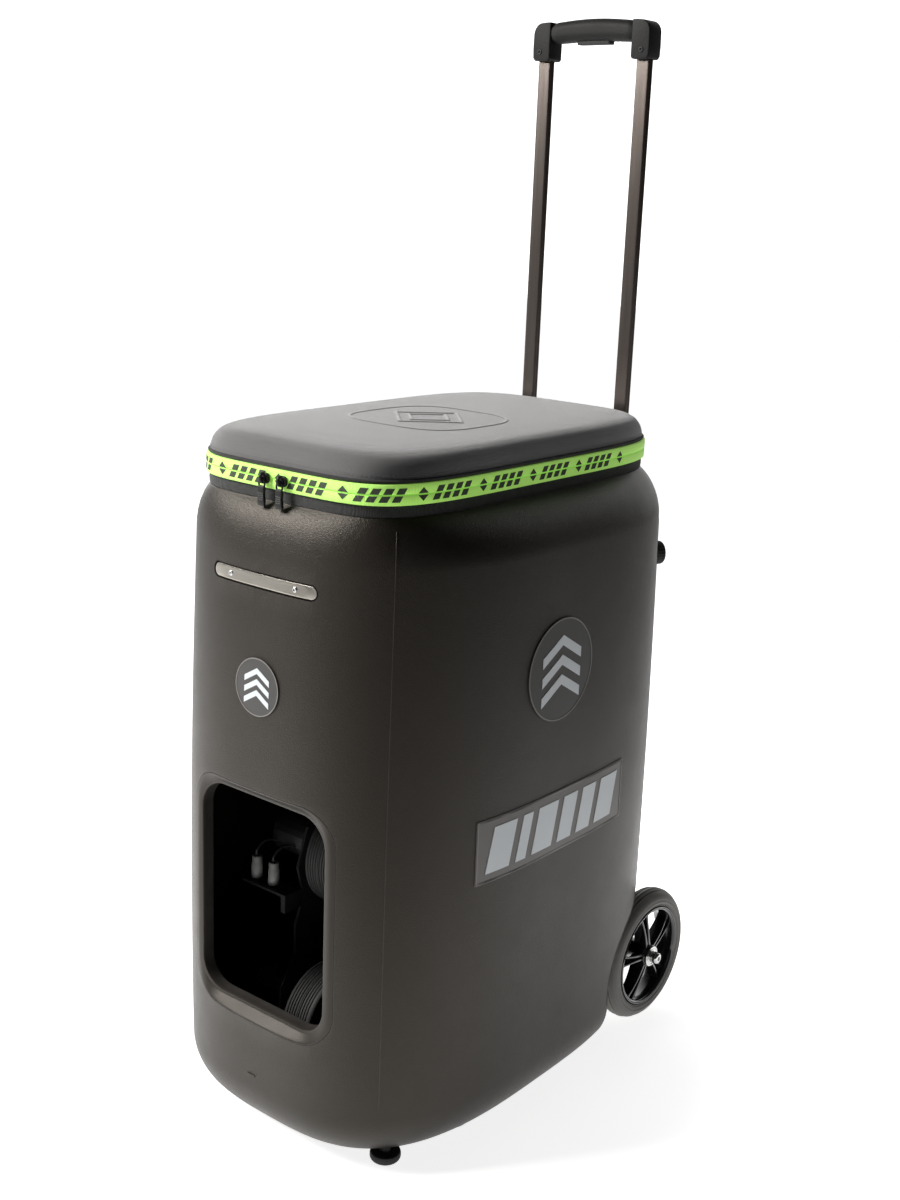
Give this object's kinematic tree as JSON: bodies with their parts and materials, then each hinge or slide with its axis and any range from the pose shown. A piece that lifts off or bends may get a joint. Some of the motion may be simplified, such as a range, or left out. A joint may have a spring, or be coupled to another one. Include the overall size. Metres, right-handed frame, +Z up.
{
  "type": "tennis ball machine",
  "caption": "Portable battery ball thrower: rounded casing, zipped lid over a ball hopper, swivelling two-wheel launcher behind a front window, pull handle and road wheels.",
  "frame": {"origin": "on the ground, under the middle of the bounding box", "axes": "+Z up, the throwing window faces -Y, the pull handle is on the +Y side, +X is the machine's left as it faces the player's opponent"},
  "size_m": [0.3336, 0.5226, 1.0355],
  "materials": {
    "casing": "satin, fine pebble grain",
    "trim": "satin",
    "lid_fabric": "fabric-faced moulded shell",
    "band_fabric": "black woven band",
    "zip_tape": "lime coil zip tape",
    "black_plastic": "fine texture",
    "inner_plastic": "satin",
    "brushed_metal": "brushed",
    "pole_metal": "anodised",
    "steel": "satin",
    "dark_steel": "black powder coat",
    "badge": "printed plate",
    "tyre": "ribbed",
    "rim": "gloss black",
    "chrome": "polished",
    "rubber": "matt",
    "throw_foam": "ribbed soft rubber",
    "motor": "satin",
    "connector": "matt",
    "battery": "satin",
    "switch": "gloss"
  },
  "bodies": {
    "casing": {"body_shell": "casing", "window_trim": "trim", "front_strip": "brushed_metal", "strip_screw_left": "steel", "strip_screw_right": "steel", "front_badge": "badge", "side_badge_left": "badge", "side_badge_right": "badge", "side_plate_left": "badge", "side_plate_right": "badge", "lid_band": "band_fabric", "base_zip_tape": "zip_tape", "hopper": "inner_plastic", "feed_motor": "motor", "chassis_plate": "dark_steel", "skid_plate": "dark_steel", "battery": "battery", "oscillation_motor": "motor", "handle_guide_left": "black_plastic", "handle_guide_right": "black_plastic", "axle": "steel", "axle_cap_left": "chrome", "axle_cap_right": "chrome", "foot_left": "rubber", "foot_right": "rubber", "control_panel": "inner_plastic", "charge_socket": "black_plastic", "knob_bezel": "black_plastic"},
    "lid": {"lid_shell": "lid_fabric", "lid_zip_tape": "zip_tape"},
    "zip_slider_left": {"zip_slider_left": "black_plastic"},
    "zip_slider_right": {"zip_slider_right": "black_plastic"},
    "zip_pull_left": {"zip_pull_left": "black_plastic"},
    "zip_pull_right": {"zip_pull_right": "black_plastic"},
    "carousel": {"feed_carousel": "black_plastic"},
    "turret": {"turret_base": "dark_steel"},
    "drive_roller": {"drive_roller": "rubber"},
    "launcher": {"cheek_left": "dark_steel", "cheek_right": "dark_steel", "feed_ramp": "inner_plastic", "motor_connector_a": "connector", "motor_connector_b": "connector", "throw_motor_upper": "motor", "throw_motor_lower": "motor"},
    "throw_upper": {"throw_wheel_upper": "throw_foam", "throw_hub_upper": "motor"},
    "throw_lower": {"throw_wheel_lower": "throw_foam", "throw_hub_lower": "motor"},
    "handle": {"handle_tube_left": "pole_metal", "handle_tube_right": "pole_metal", "handle_end_left": "black_plastic", "handle_end_right": "black_plastic", "handle_grip": "black_plastic"},
    "grip_button": {"grip_button": "rubber"},
    "wheel_left": {"wheel_tyre_left": "tyre", "wheel_rim_left": "rim"},
    "wheel_right": {"wheel_tyre_right": "tyre", "wheel_rim_right": "rim"},
    "knob": {"control_knob": "rubber"},
    "power_switch": {"power_switch": "switch"}
  },
  "joints": [
    {"name": "lid_hinge", "type": "hinge", "parent": "casing", "child": "lid", "pos_m": [0, 0.17742, 0.65], "axis": [-1, 0, 0], "range_deg": [0, 85]},
    {"name": "zip_left_slide", "type": "slide", "parent": "casing", "child": "zip_slider_left", "axis": [1, 0, 0], "range_m": [-0.045, 0]},
    {"name": "zip_right_slide", "type": "slide", "parent": "casing", "child": "zip_slider_right", "axis": [1, 0, 0], "range_m": [0, 0.045]},
    {"name": "zip_pull_left_swing", "type": "hinge", "parent": "zip_slider_left", "child": "zip_pull_left", "pos_m": [-0.0105, -0.24507, 0.6288], "axis": [-1, 0, 0], "range_deg": [0, 110]},
    {"name": "zip_pull_right_swing", "type": "hinge", "parent": "zip_slider_right", "child": "zip_pull_right", "pos_m": [0.0105, -0.24507, 0.6288], "axis": [-1, 0, 0], "range_deg": [0, 110]},
    {"name": "carousel_spin", "type": "hinge", "parent": "casing", "child": "carousel", "pos_m": [0, 0.03793, 0.4], "axis": [0, 0, 1], "continuous": true},
    {"name": "turret_yaw", "type": "hinge", "parent": "casing", "child": "turret", "pos_m": [0, -0.03008, 0.033], "axis": [0, 0, 1], "range_deg": [-15, 15]},
    {"name": "drive_roller_spin", "type": "hinge", "parent": "casing", "child": "drive_roller", "pos_m": [0.09199, 0.03434, 0.035], "axis": [0, 0, 1], "range_deg": [-127, 127]},
    {"name": "launch_pitch", "type": "hinge", "parent": "turret", "child": "launcher", "pos_m": [0, -0.14508, 0.172], "axis": [-1, 0, 0], "range_deg": [-10, 18]},
    {"name": "throw_upper_spin", "type": "hinge", "parent": "launcher", "child": "throw_upper", "pos_m": [0, -0.13101, 0.25177], "axis": [1, 0, 0], "continuous": true},
    {"name": "throw_lower_spin", "type": "hinge", "parent": "launcher", "child": "throw_lower", "pos_m": [0, -0.15914, 0.09223], "axis": [1, 0, 0], "continuous": true},
    {"name": "handle_slide", "type": "slide", "parent": "casing", "child": "handle", "axis": [0, 0, 1], "range_m": [-0.33, 0]},
    {"name": "grip_button_press", "type": "slide", "parent": "handle", "child": "grip_button", "axis": [0, 0, 1], "range_m": [0, 0.0025], "stiffness_N_per_m": 400, "springref_m": -0.001},
    {"name": "wheel_left_spin", "type": "hinge", "parent": "casing", "child": "wheel_left", "pos_m": [-0.1345, 0.18882, 0.0725], "axis": [1, 0, 0], "continuous": true},
    {"name": "wheel_right_spin", "type": "hinge", "parent": "casing", "child": "wheel_right", "pos_m": [0.1345, 0.18882, 0.0725], "axis": [1, 0, 0], "continuous": true},
    {"name": "knob_turn", "type": "hinge", "parent": "casing", "child": "knob", "pos_m": [0.1, 0.19747, 0.513], "axis": [0.5188, 0.8549, 0], "range_deg": [-135, 135]},
    {"name": "power_rocker", "type": "hinge", "parent": "casing", "child": "power_switch", "pos_m": [-0.022, 0.21063, 0.53], "axis": [1, 0, 0], "range_deg": [0, 16]}
  ],
  "couplings": [
    {"joint": "drive_roller_spin", "follows": "turret_yaw", "ratio": -8.3333}
  ]
}
